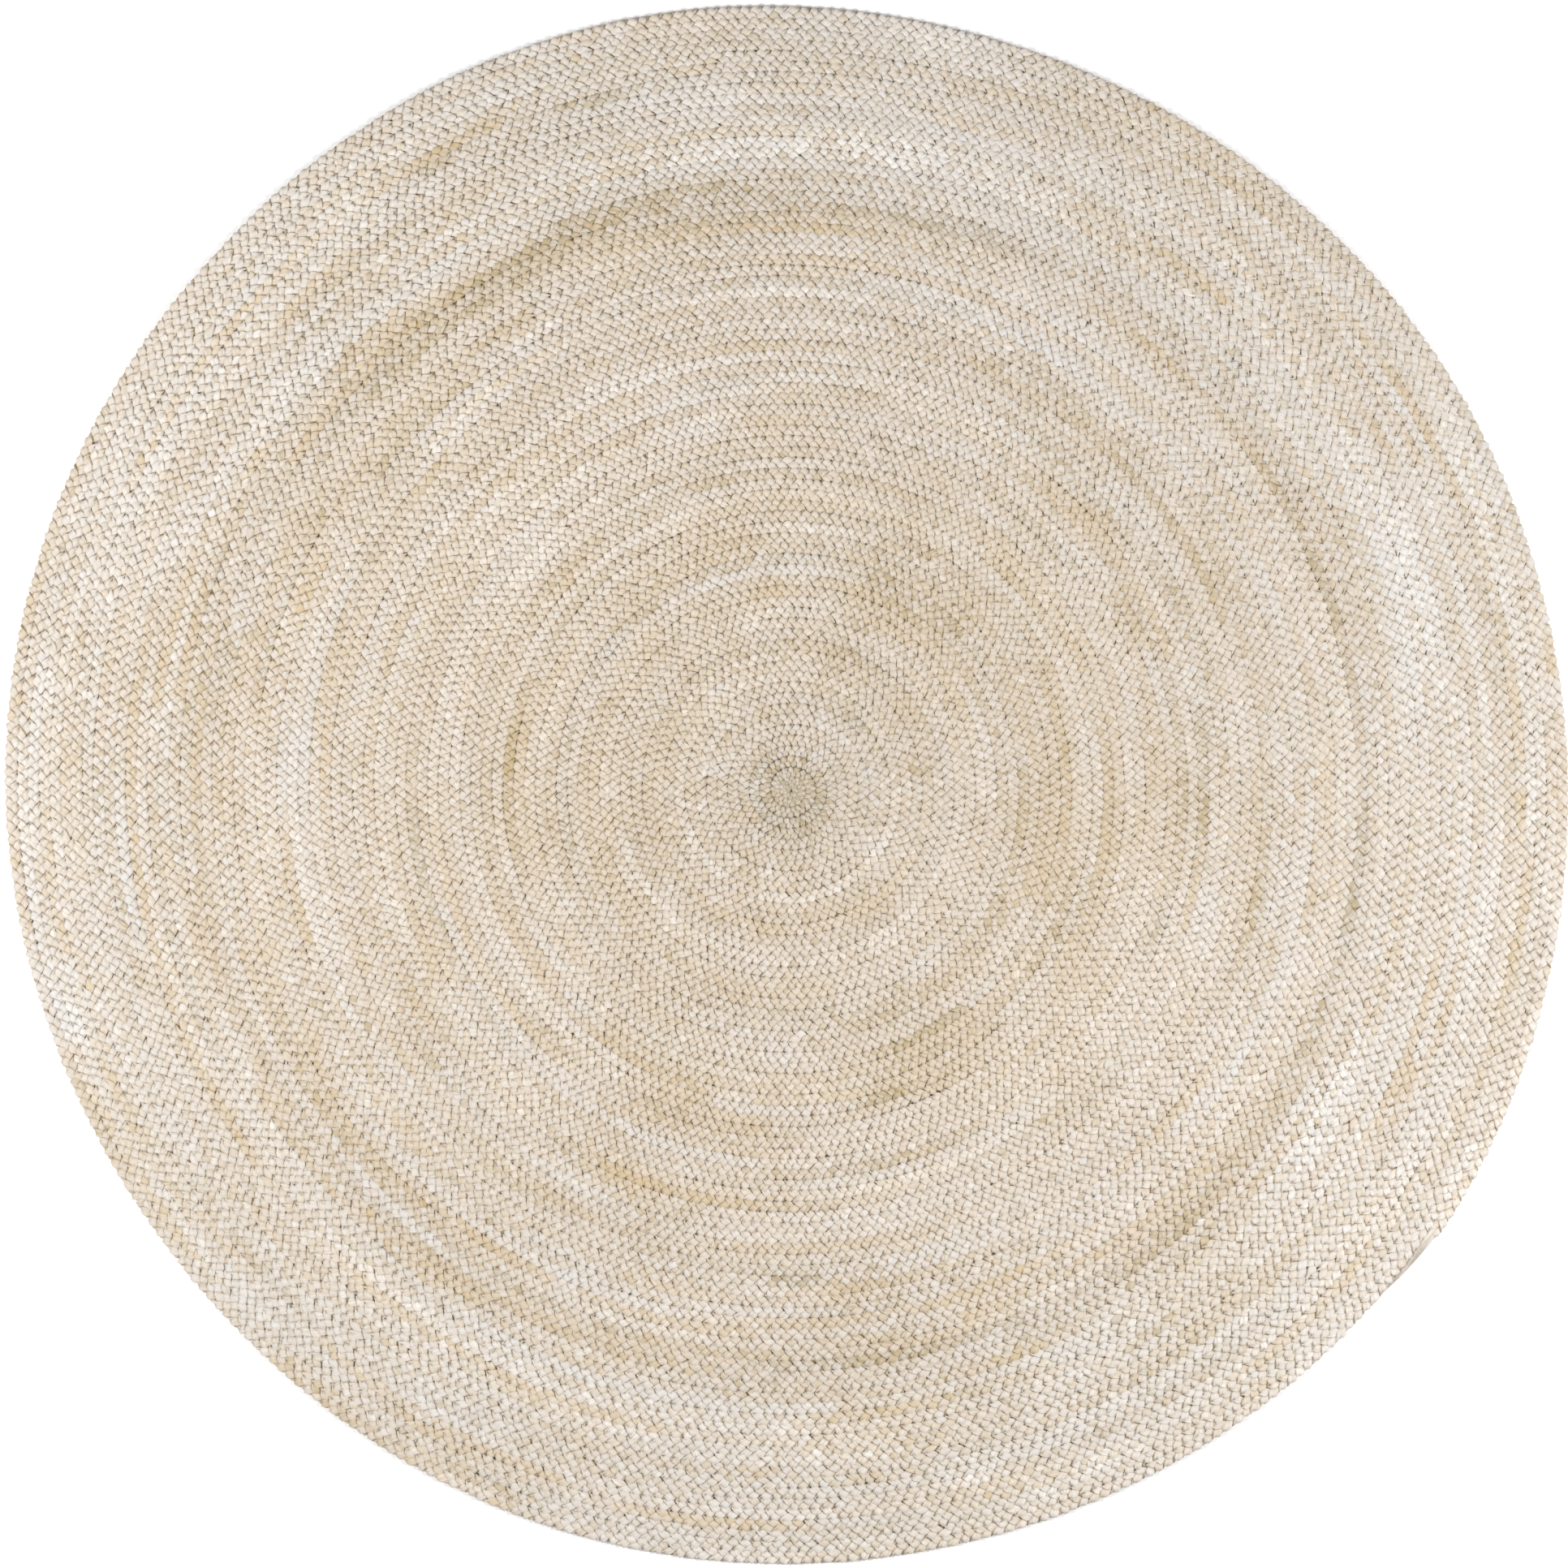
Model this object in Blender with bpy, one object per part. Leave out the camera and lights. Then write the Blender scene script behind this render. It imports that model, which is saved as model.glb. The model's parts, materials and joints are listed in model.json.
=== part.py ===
"""Round jute rug: one flat three-strand braid wound in a spiral and sewn turn to turn.

Run with: blender --background --python part.py
Units are metres, +Z is up. The rug lies flat on z = 0, and the world origin is the middle of its
underside. Seen from above, the braid winds outwards clockwise from the eye of the spiral to its
tapered tail. The braid is made of several lengths joined end to end, and a sewing thread runs down
the seam between neighbouring turns. The braid's three strands are plaited inside its section.
"""

import math

import bpy
from mathutils import Vector

# --- Driving dimensions -----------------------------------------------------------------------
TURN_PITCH = 0.01253  # from one seam of the spiral to the next
TURNS = 72.5  # from the eye to the tip of the tail
BRAID_THICKNESS = 0.008  # floor to the top of the braid
THREAD_THICKNESS = 0.00035  # sewing thread, pressed flat between two turns
CLEARANCE = 0.0003  # between pieces that touch on the sewn rug
BRAID_LENGTHS = 24  # hand-plaited lengths joined end to end, centre to edge
END_ANGLE = math.radians(-38)  # direction of the tail's tip, seen from the eye

TAIL_SIDES = 2  # sides of the outer turn that the tail reaches over; it starts half-way
TAIL_TIP_WIDTH = 0.0035
TAIL_THICKNESS = 0.005  # the unplaited ends lie flatter than the braid

THREAD_TOP = 0.006  # the seam thread stays below the braid's top
THREAD_BOTTOM = 0.002  # and above its underside
CENTRE_SEAMS = 6  # turns of the seam that are sewn with the centre's thread
EDGE_SEAMS = 1  # turns of the seam that are sewn with the edge's thread
STITCHES_PER_SIDE = 2  # stitches over each straight side of the tail; an even number
LACING_FOOT = 0.0008  # the lacing's lowest runs are this far above the floor

# The turns are sewn by hand, so the rug is a little out of round. Each lobe is (waves round the
# rug, height at the edge, direction of its first crest), and it fades towards the eye.
LOBES = (
    (1, 0.0052, math.radians(158)),
    (2, 0.0058, math.radians(-45)),
    (5, 0.0025, math.radians(34)),
)

# --- Resolution of the curves -----------------------------------------------------------------
CENTRE_CORNERS = 16  # corners of one turn at the centre
MOST_SAG = 0.0053  # a side may cut inside its arc by this much before the corners double
EDGE_TURNS = 2  # turns at the edge with twice the corners, for a round outline
THREAD_RING = 1  # bevel resolution of a round thread

# --- Values that follow -----------------------------------------------------------------------
SEAM_GAP = THREAD_THICKNESS + 2 * CLEARANCE
BRAID_WIDTH = TURN_PITCH - SEAM_GAP
EDGE_RADIUS = TURN_PITCH * (TURNS + 0.5)

# Jute tones, from the bleached lengths to the straw-coloured ones.
TONES = {
    "greige": (0.52, 0.46, 0.37),
    "cream": (0.66, 0.59, 0.48),
    "straw": (0.62, 0.54, 0.39),
    "ivory": (0.70, 0.64, 0.55),
    "bleached": (0.76, 0.71, 0.63),
}
TONE_ORDER = (
    "greige", "cream", "cream", "straw", "cream", "cream", "straw", "ivory",
    "cream", "ivory", "ivory", "cream", "straw", "greige", "ivory", "bleached",
    "ivory", "bleached", "ivory", "bleached", "ivory", "bleached", "bleached", "ivory",
)
THREAD_COLOUR = (0.60, 0.53, 0.42)


# --- The spiral -------------------------------------------------------------------------------
def corners_of_turn(turn):
    """How many corners the given turn has; it only ever doubles, so turns never cross."""
    corners = CENTRE_CORNERS
    while TURN_PITCH * turn * (1 - math.cos(math.pi / corners)) > MOST_SAG:
        corners *= 2
    return corners * 2 if turn >= TURNS - EDGE_TURNS else corners


def corner_turns():
    """The places of the spiral's corners, counted in turns from the eye to the tail's tip."""
    places = [0.0]
    while places[-1] < TURNS:
        places.append(min(places[-1] + 1 / corners_of_turn(places[-1]), TURNS))
    return places


def out_of_round(angle, radius):
    """How far the lobes push a point at this angle and radius outwards."""
    push = sum(high * math.cos(waves * (angle - crest)) for waves, high, crest in LOBES)
    return push * (radius / EDGE_RADIUS) ** 2


def at(turn, offset=0.0):
    """The point of the spiral after this many turns, offset outwards from the braid's middle."""
    angle = END_ANGLE + (TURNS - turn) * math.tau
    radius = TURN_PITCH * (turn + 0.5)
    radius += out_of_round(angle, radius) + offset
    return (radius * math.cos(angle), radius * math.sin(angle))


def beside(start, end, distance, offset):
    """The point at this distance from start on the way to end, moved outwards by offset."""
    ahead = [(b - a) / math.dist(start, end) for a, b in zip(start, end)]
    return (
        start[0] + ahead[0] * distance - ahead[1] * offset,
        start[1] + ahead[1] * distance + ahead[0] * offset,
    )


def side_end(index, shift, offset=0.0):
    """The middle of the spiral's side after corner index, shifted along the side and outwards."""
    start, end = at(CORNERS[index]), at(CORNERS[index + 1])
    return beside(start, end, math.dist(start, end) / 2 + shift, offset)


def braid_line(first, last, offset=0.0):
    """The line of a run that ends half-way along the sides after corners first and last."""
    line = [side_end(first, CLEARANCE / 2, offset)]
    line += [at(turn, offset) for turn in CORNERS[first + 1 : last + 1]]
    return line + [side_end(last, -CLEARANCE / 2, offset)]


def corner_before(turn):
    """The last corner at or before this many turns."""
    return max(index for index, place in enumerate(CORNERS) if place <= turn + 1e-6)


def length_joints():
    """The corners after which one braid length ends and the next starts."""
    start, end = 1.0, CORNERS[-1 - TAIL_SIDES]
    joints = []
    for number in range(BRAID_LENGTHS + 1):
        share = number / BRAID_LENGTHS
        # The plait's length grows with the square of the turns, so equal lengths go by the root.
        turn = math.sqrt(start**2 + share * (end**2 - start**2))
        joints.append(corner_before(turn))
    return joints


CORNERS = corner_turns()


# --- Blender helpers --------------------------------------------------------------------------
def clear_scene():
    """Removes everything that the start-up scene holds."""
    for thing in list(bpy.data.objects):
        bpy.data.objects.remove(thing, do_unlink=True)


def make_collection(name):
    """A new collection in the scene."""
    collection = bpy.data.collections.new(name)
    bpy.context.scene.collection.children.link(collection)
    return collection


def jute(name, colour, roughness=0.85):
    """A dry plant fibre."""
    material = bpy.data.materials.new(name)
    material.use_nodes = True
    shader = material.node_tree.nodes["Principled BSDF"]
    shader.inputs["Base Color"].default_value = (*colour, 1)
    shader.inputs["Roughness"].default_value = roughness
    shader.inputs["Metallic"].default_value = 0.0
    material.diffuse_color = (*colour, 1)
    return material


def add_line(curve, points, height=0.0, closed=False):
    """Adds one straight-sided spline through (x, y) or (x, y, z) points."""
    spline = curve.splines.new("POLY")
    spline.points.add(len(points) - 1)
    for place, point in zip(spline.points, points):
        place.co = (*point, 1) if len(point) == 3 else (*point, height, 1)
    spline.use_cyclic_u = closed


def place(name, curve, parts, rug, material):
    """Puts a curve into the rug as a part."""
    part = bpy.data.objects.new(name, curve)
    part.parent = rug
    curve.materials.append(material)
    parts.objects.link(part)
    return part


def section(name, width, bottom, top, guides):
    """A rectangular section that a line is swept with, hidden with the guides."""
    curve = bpy.data.curves.new(name, "CURVE")
    curve.dimensions = "2D"
    half = width / 2
    add_line(curve, [(-half, bottom), (-half, top), (half, top), (half, bottom)], closed=True)
    guide = bpy.data.objects.new(name, curve)
    guide.hide_render = True
    guide.display_type = "WIRE"
    guides.objects.link(guide)
    return guide


def swept(name, line, profile, parts, rug, material):
    """A closed band: the profile swept along a level line."""
    curve = bpy.data.curves.new(name, "CURVE")
    curve.dimensions = "3D"
    curve.twist_mode = "Z_UP"
    curve.bevel_mode = "OBJECT"
    curve.bevel_object = profile
    curve.use_fill_caps = True
    add_line(curve, line)
    return place(name, curve, parts, rug, material)


def cut_flat(name, outline, thickness, parts, rug, material):
    """A level slab with this outline, lying on the floor."""
    curve = bpy.data.curves.new(name, "CURVE")
    curve.dimensions = "2D"
    curve.fill_mode = "BOTH"
    curve.extrude = thickness / 2
    add_line(curve, outline, closed=True)
    part = place(name, curve, parts, rug, material)
    part.location.z = thickness / 2
    return part


# --- Parts ------------------------------------------------------------------------------------
def make_centre(parts, rug):
    """The braid's folded start: the first turn, wound so tightly that it is one round button."""
    edge = BRAID_WIDTH / 2
    first = length_joints()[0]
    outline = [side_end(0, 0.0, edge)]
    outline += [at(turn, edge) for turn in CORNERS[1 : first + 1]]
    outline += [side_end(first, -CLEARANCE / 2, edge), side_end(first, -CLEARANCE / 2, -edge)]
    return cut_flat("centre_start", outline, BRAID_THICKNESS, parts, rug,
                    jute("centre_start", TONES["greige"]))


def make_braid(parts, guides, rug):
    """The plaited lengths, from the centre to where the tail begins."""
    profile = section("braid_section", BRAID_WIDTH, 0.0, BRAID_THICKNESS, guides)
    joints = length_joints()
    for number, (first, last) in enumerate(zip(joints, joints[1:]), start=1):
        name = f"braid_length_{number:02d}"
        tone = TONES[TONE_ORDER[(number - 1) % len(TONE_ORDER)]]
        swept(name, braid_line(first, last), profile, parts, rug, jute(name, tone))


def tail_edge():
    """The tail's inner edge, from its first side to its tip."""
    first = length_joints()[-1]
    start = side_end(first, CLEARANCE / 2, -BRAID_WIDTH / 2)
    return [start] + [at(turn, -BRAID_WIDTH / 2) for turn in CORNERS[first + 1 :]]


def tail_width(share):
    """The tail's width at this share of its reach."""
    return BRAID_WIDTH + (TAIL_TIP_WIDTH - BRAID_WIDTH) * share


def make_tail(parts, rug):
    """The unplaited ends of the last length, thinned to a tip that lies along the edge."""
    inner = tail_edge()
    first = length_joints()[-1]
    reach = math.dist(inner[0], inner[-1])
    outer = [side_end(first, CLEARANCE / 2, BRAID_WIDTH / 2)]
    for turn, base in zip(CORNERS[first + 1 :], inner[1:]):
        width = tail_width(math.dist(inner[0], base) / reach)
        outer.append(at(turn, width - BRAID_WIDTH / 2))
    return cut_flat("braid_tail", inner + outer[::-1], TAIL_THICKNESS, parts, rug,
                    jute("braid_tail", TONES["ivory"]))


def make_seam_threads(parts, guides, rug):
    """The sewing thread in the seam, at the centre and along the outermost turn."""
    profile = section("thread_section", THREAD_THICKNESS, THREAD_BOTTOM, THREAD_TOP, guides)
    edge_end = CORNERS[length_joints()[-1]] - 1
    runs = {
        "seam_thread_centre": (1, corner_before(CENTRE_SEAMS)),
        "seam_thread_edge": (corner_before(edge_end - EDGE_SEAMS), corner_before(edge_end)),
    }
    for name, (start, end) in runs.items():
        line = braid_line(start, end, TURN_PITCH / 2)
        swept(name, line, profile, parts, rug, jute(name, THREAD_COLOUR))


def make_lacing(parts, rug):
    """The thread that binds the tail down: over the tail, down its side, and back over again."""
    curve = bpy.data.curves.new("tail_lacing", "CURVE")
    curve.dimensions = "3D"
    curve.bevel_depth = THREAD_THICKNESS / 2
    curve.bevel_resolution = THREAD_RING
    curve.use_fill_caps = True
    inner = tail_edge()
    reach = math.dist(inner[0], inner[-1])
    top = TAIL_THICKNESS + CLEARANCE + THREAD_THICKNESS / 2
    route = []
    turns = CORNERS[length_joints()[-1] + 1 :]
    for start, end, turn in zip(inner, inner[1:], turns):
        for number in range(STITCHES_PER_SIDE):
            distance = math.dist(start, end) * (number + 0.5) / STITCHES_PER_SIDE
            base = beside(start, end, distance, 0.0)
            width = tail_width(math.dist(inner[0], base) / reach)
            near = beside(start, end, distance, -SEAM_GAP / 2)
            far = beside(start, end, distance, width + CLEARANCE + THREAD_THICKNESS / 2)
            stitch = [(*near, LACING_FOOT), (*near, top), (*far, top), (*far, LACING_FOOT)]
            # Every second stitch comes back, so that the thread runs on along the side it is on.
            route += stitch if number % 2 == 0 else stitch[::-1]
        if turn < TURNS:
            route.append((*at(turn, -(BRAID_WIDTH + SEAM_GAP) / 2), LACING_FOOT))
    add_line(curve, route)
    place("tail_lacing", curve, parts, rug, jute("tail_lacing", THREAD_COLOUR))


def centre_on_origin(parts, rug):
    """Moves the rug so that the middle of its underside is the world origin."""
    bpy.context.view_layer.update()
    graph = bpy.context.evaluated_depsgraph_get()
    corners = [
        part.matrix_world @ Vector(corner)
        for part in parts.objects
        if part.type == "CURVE"
        for corner in part.evaluated_get(graph).bound_box
    ]
    for axis in (0, 1):
        values = [corner[axis] for corner in corners]
        rug.location[axis] = -(min(values) + max(values)) / 2


def main():
    """Builds the rug and sets its origin at the middle of its underside."""
    clear_scene()
    parts = make_collection("braided_rug")
    guides = make_collection("guides")
    rug = bpy.data.objects.new("rug_eye", None)
    parts.objects.link(rug)
    make_centre(parts, rug)
    make_braid(parts, guides, rug)
    make_tail(parts, rug)
    make_seam_threads(parts, guides, rug)
    make_lacing(parts, rug)
    centre_on_origin(parts, rug)


main()
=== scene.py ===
"""Round plaited jute rug: the visual model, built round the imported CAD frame.

The rug is one long flat plait of three jute strands. It is made in lengths joined end to end,
wound flat from the eye outwards, clockwise seen from above, and sewn edge to edge with twine.
The last length ends in a tail of unplaited jute, thinned to a tip and laced down on the edge.
"""

import json
import logging
import math
from dataclasses import dataclass, field
from enum import Enum

import bpy
import numpy as np
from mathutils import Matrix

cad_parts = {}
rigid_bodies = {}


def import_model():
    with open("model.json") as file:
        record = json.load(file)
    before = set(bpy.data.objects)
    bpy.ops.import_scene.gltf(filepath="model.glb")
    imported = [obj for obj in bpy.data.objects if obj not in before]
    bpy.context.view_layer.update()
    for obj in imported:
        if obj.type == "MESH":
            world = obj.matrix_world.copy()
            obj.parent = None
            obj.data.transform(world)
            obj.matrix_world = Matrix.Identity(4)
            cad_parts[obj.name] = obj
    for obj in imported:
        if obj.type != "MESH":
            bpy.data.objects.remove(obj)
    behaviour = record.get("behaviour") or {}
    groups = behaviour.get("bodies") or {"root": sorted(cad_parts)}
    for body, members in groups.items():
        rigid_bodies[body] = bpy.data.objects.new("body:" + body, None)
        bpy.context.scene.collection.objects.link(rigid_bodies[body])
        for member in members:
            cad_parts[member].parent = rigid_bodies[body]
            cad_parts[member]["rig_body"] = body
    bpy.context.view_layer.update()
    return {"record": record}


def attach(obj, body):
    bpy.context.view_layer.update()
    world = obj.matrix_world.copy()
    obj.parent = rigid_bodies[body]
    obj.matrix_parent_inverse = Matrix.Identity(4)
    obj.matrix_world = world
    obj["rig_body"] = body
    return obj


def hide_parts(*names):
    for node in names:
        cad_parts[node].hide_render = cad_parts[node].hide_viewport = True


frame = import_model()

Array = np.ndarray
Colour = tuple[float, float, float]
Socket = bpy.types.NodeSocket
LOG = logging.getLogger("jute_rug")
BODY = "root"
PLACE = "fibre_place"  # per vertex: metres along the strand, then cosine and sine round it
SLIVER = "sliver"  # per vertex: tone and warmth of the jute there, then the share of painted seam shade
BAKE_MAP = "OFBake"
MASKS = ("Fibres", "Streaks", "Hues", "Flecks")  # what the fibre group gives the colour group
TINTS = ("Dark", "Middle", "Light", "Straw", "Washed", "Seam", "Bark")  # a finish's own colours, and the colour of its painted seam shade


class Slot(Enum):
    """The record's material slots."""

    GREIGE = "jute_greige"
    CREAM = "jute_cream"
    STRAW = "jute_straw"
    IVORY = "jute_ivory"
    BLEACHED = "jute_bleached"
    TWINE = "sewing_thread"


LENGTH_SLOTS = [
    Slot[name]
    for name in (
        "GREIGE CREAM CREAM STRAW CREAM CREAM STRAW IVORY CREAM IVORY IVORY CREAM STRAW GREIGE "
        "IVORY BLEACHED IVORY BLEACHED IVORY BLEACHED IVORY BLEACHED BLEACHED IVORY"
    ).split()
]


# --- Seeded irregularity -----------------------------------------------------------------------
def smooth_step(share: Array) -> Array:
    """An even share from 0 to 1 with soft ends."""
    share = np.clip(share, 0.0, 1.0)
    return share * share * (3.0 - 2.0 * share)


def ramp(value: Array, start: Array | float, over: float) -> Array:
    """A share that rises softly from 0 at the start to 1 where the value is this much over it."""
    return smooth_step((value - start) / over)


def between(first: Array, second: Array, share: Array) -> Array:
    """The value at this share of the way from the first to the second."""
    return first * (1.0 - share) + second * share


def ring_angles(sides: int) -> Array:
    """The angles at which the points of a ring lie, evenly spaced."""
    return (np.arange(sides) + 0.5) * math.tau / sides


def uneven(draw: np.random.Generator, shape: tuple[int, ...]) -> Array:
    """Random values of standard deviation about 1, most of them small and a few large."""
    return np.clip(draw.standard_t(4.0, shape) / 1.3, -3.0, 3.0)


class Wander:
    """A smooth random drift along the plait, the same at every build."""

    def __init__(self, seed: int, reach: float, step: float, spread: float) -> None:
        """Draws the drift's values.

        Args:
            seed: the number that fixes the drift.
            reach: the length that it covers, in metres.
            step: the distance from one drawn value to the next.
            spread: the standard deviation of the values.
        """
        self.step = step
        self.values = np.random.default_rng(seed).normal(0.0, spread, int(reach / step) + 4)

    def at(self, where: Array) -> Array:
        """The drift at these distances along the plait.

        Args:
            where: distances from the plait's start, in metres.

        Returns:
            One value for each distance.
        """
        place = np.clip(where / self.step, 0.0, len(self.values) - 1.001)
        low = place.astype(int)
        return between(self.values[low], self.values[low + 1], smooth_step(place - low))


class Runs:
    """Slivers of jute laid in one after another: each run has its own value, soft at its ends."""

    def __init__(self, seed: int, reach: float, least: float, most: float, spread: float) -> None:
        """Draws the runs.

        Args:
            seed: the number that fixes the runs.
            reach: the length that they cover, in metres.
            least: the shortest run.
            most: the longest run.
            spread: the standard deviation of the values.
        """
        draw = np.random.default_rng(seed)
        count = int(2.0 * reach / (least + most)) * 2 + 8
        share = draw.random(count)
        self.starts = np.concatenate([[0.0], np.cumsum(least + (most - least) * share**2)])
        self.values = spread * uneven(draw, (count + 1,))
        self.blend = 0.35 * least

    def at(self, where: Array) -> Array:
        """The value of the run at each of these distances."""
        index = np.clip(np.searchsorted(self.starts, where) - 1, 0, len(self.values) - 2)
        before = self.values[np.maximum(index - 1, 0)]
        return between(before, self.values[index], ramp(where, self.starts[index], self.blend))


class Patches:
    """Soft random patches over the floor plane, where several turns are paler or darker."""

    def __init__(self, seed: int, cell: float, spread: float) -> None:
        """Draws a grid of values over the rug, one to a cell of this size in metres."""
        self.cell = cell
        self.half = int(1.1 / cell) + 2
        size = 2 * self.half + 2
        self.values = np.random.default_rng(seed).normal(0.0, spread, (size, size))

    def at(self, x: Array, y: Array) -> Array:
        """The patch value at these points of the floor plane."""
        across, down = x / self.cell + self.half, y / self.cell + self.half
        i, j = np.floor(across).astype(int), np.floor(down).astype(int)
        fx, fy = smooth_step(across - i), smooth_step(down - j)
        near = between(self.values[i, j], self.values[i + 1, j], fx)
        far = between(self.values[i, j + 1], self.values[i + 1, j + 1], fx)
        return between(near, far, fy)


class Streaks:
    """Soft streaks that follow the turns, each a few turns wide and a small share of one long."""

    def __init__(self, seed: int, wide: float, around: int, spread: float) -> None:
        """Draws the streaks.

        Args:
            seed: the number that fixes the streaks.
            wide: the distance from one row of streaks to the next, in metres.
            around: how many streaks a whole turn has.
            spread: the standard deviation of the values.
        """
        draw = np.random.default_rng(seed)
        rows = int(1.0 / wide) + 3
        self.wide, self.around = wide, around
        self.shift = draw.uniform(0.0, around, rows)
        self.values = spread * uneven(draw, (rows, around))

    def row_at(self, row: Array, place: Array) -> Array:
        """The value of these rows, each at its place in streaks round the turn."""
        place = (place + self.shift[row]) % self.around
        low = np.floor(place).astype(int) % self.around
        after = self.values[row, (low + 1) % self.around]
        return between(self.values[row, low], after, smooth_step(place - np.floor(place)))

    def at(self, angle: Array, radius: Array) -> Array:
        """The streaks' value at these angles and distances from the eye."""
        across = np.clip(radius / self.wide, 0.0, len(self.shift) - 2)
        low = np.floor(across).astype(int)
        share, place = smooth_step(across - low), angle / math.tau * self.around
        return between(self.row_at(low, place), self.row_at(low + 1, place), share)


@dataclass(frozen=True)
class Mark:
    """A natural mark in the jute: a darker, paler, yellower or greyer place along the turns."""

    radius: float
    degrees: float
    long: float
    wide: float
    tone: float
    warmth: float

    def weight(self, angle: Array, radius: Array) -> Array:
        """How strong the mark is at these angles and distances from the eye, from 0 to 1."""
        turned = (angle - math.radians(self.degrees) + math.pi) % math.tau - math.pi
        along, across = turned * self.radius / self.long, (radius - self.radius) / self.wide
        return np.exp(-(along**2) - across**2)


@dataclass(frozen=True)
class Weights:
    """How strongly each kind of unevenness changes the jute."""

    batch: float
    bundle: float
    own: float
    lump: float
    patch: float
    streak: float


TONE_WEIGHTS = Weights(
    batch=0.045, bundle=0.06, own=0.055, lump=0.055, patch=0.04, streak=0.065
)
WARMTH_WEIGHTS = Weights(
    batch=0.08, bundle=0.10, own=0.09, lump=0.07, patch=-0.04, streak=0.15
)

MARKS = (
    Mark(0.036, -20, 0.020, 0.008, -0.30, -0.30),
    Mark(0.038, 245, 0.025, 0.008, -0.25, -0.20),
    Mark(0.037, 150, 0.020, 0.008, -0.22, -0.20),
    Mark(0.106, 46, 0.016, 0.008, -0.32, -0.45),
    Mark(0.150, 10, 0.016, 0.008, -0.25, 0.30),
    Mark(0.322, 5, 0.090, 0.009, -0.08, 0.32),
    Mark(0.322, -25, 0.060, 0.008, -0.04, 0.30),
    Mark(0.370, 249, 0.060, 0.009, -0.10, 0.42),
    Mark(0.380, 292, 0.040, 0.008, -0.22, 0.05),
    Mark(0.417, 139, 0.022, 0.007, -0.40, -0.10),
    Mark(0.424, 130, 0.015, 0.008, -0.25, 0.20),
    Mark(0.330, 180, 0.060, 0.012, -0.16, 0.20),
    Mark(0.486, 259, 0.090, 0.008, -0.02, 0.50),
    Mark(0.504, -10, 0.020, 0.008, -0.28, 0.15),
    Mark(0.549, -57, 0.030, 0.006, -0.28, 0.10),
    Mark(0.579, -89, 0.032, 0.005, -0.40, -0.30),
    Mark(0.633, 246, 0.020, 0.012, 0.05, -0.90),
    Mark(0.673, -12, 0.030, 0.005, -0.38, 0.00),
    Mark(0.707, 120, 0.200, 0.012, -0.18, 0.10),
    Mark(0.707, 150, 0.200, 0.012, -0.18, 0.10),
    Mark(0.707, 190, 0.260, 0.010, -0.16, 0.08),
    Mark(0.714, -68, 0.080, 0.010, -0.08, 0.34),
    Mark(0.730, -30, 0.130, 0.020, 0.24, -0.45),
    Mark(0.756, 90, 0.280, 0.014, 0.32, -0.45),
    Mark(0.770, 22, 0.240, 0.022, 0.24, -0.45),
    Mark(0.810, -82, 0.060, 0.010, -0.04, 0.50),
    Mark(0.845, 106, 0.070, 0.008, -0.32, 0.05),
    Mark(0.848, 120, 0.040, 0.010, -0.30, 0.25),
    Mark(0.881, 198, 0.022, 0.010, 0.30, -0.90),
    Mark(0.600, 50, 0.450, 0.250, 0.00, -0.14),
    Mark(0.660, 200, 0.450, 0.090, 0.00, 0.14),
)


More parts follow.
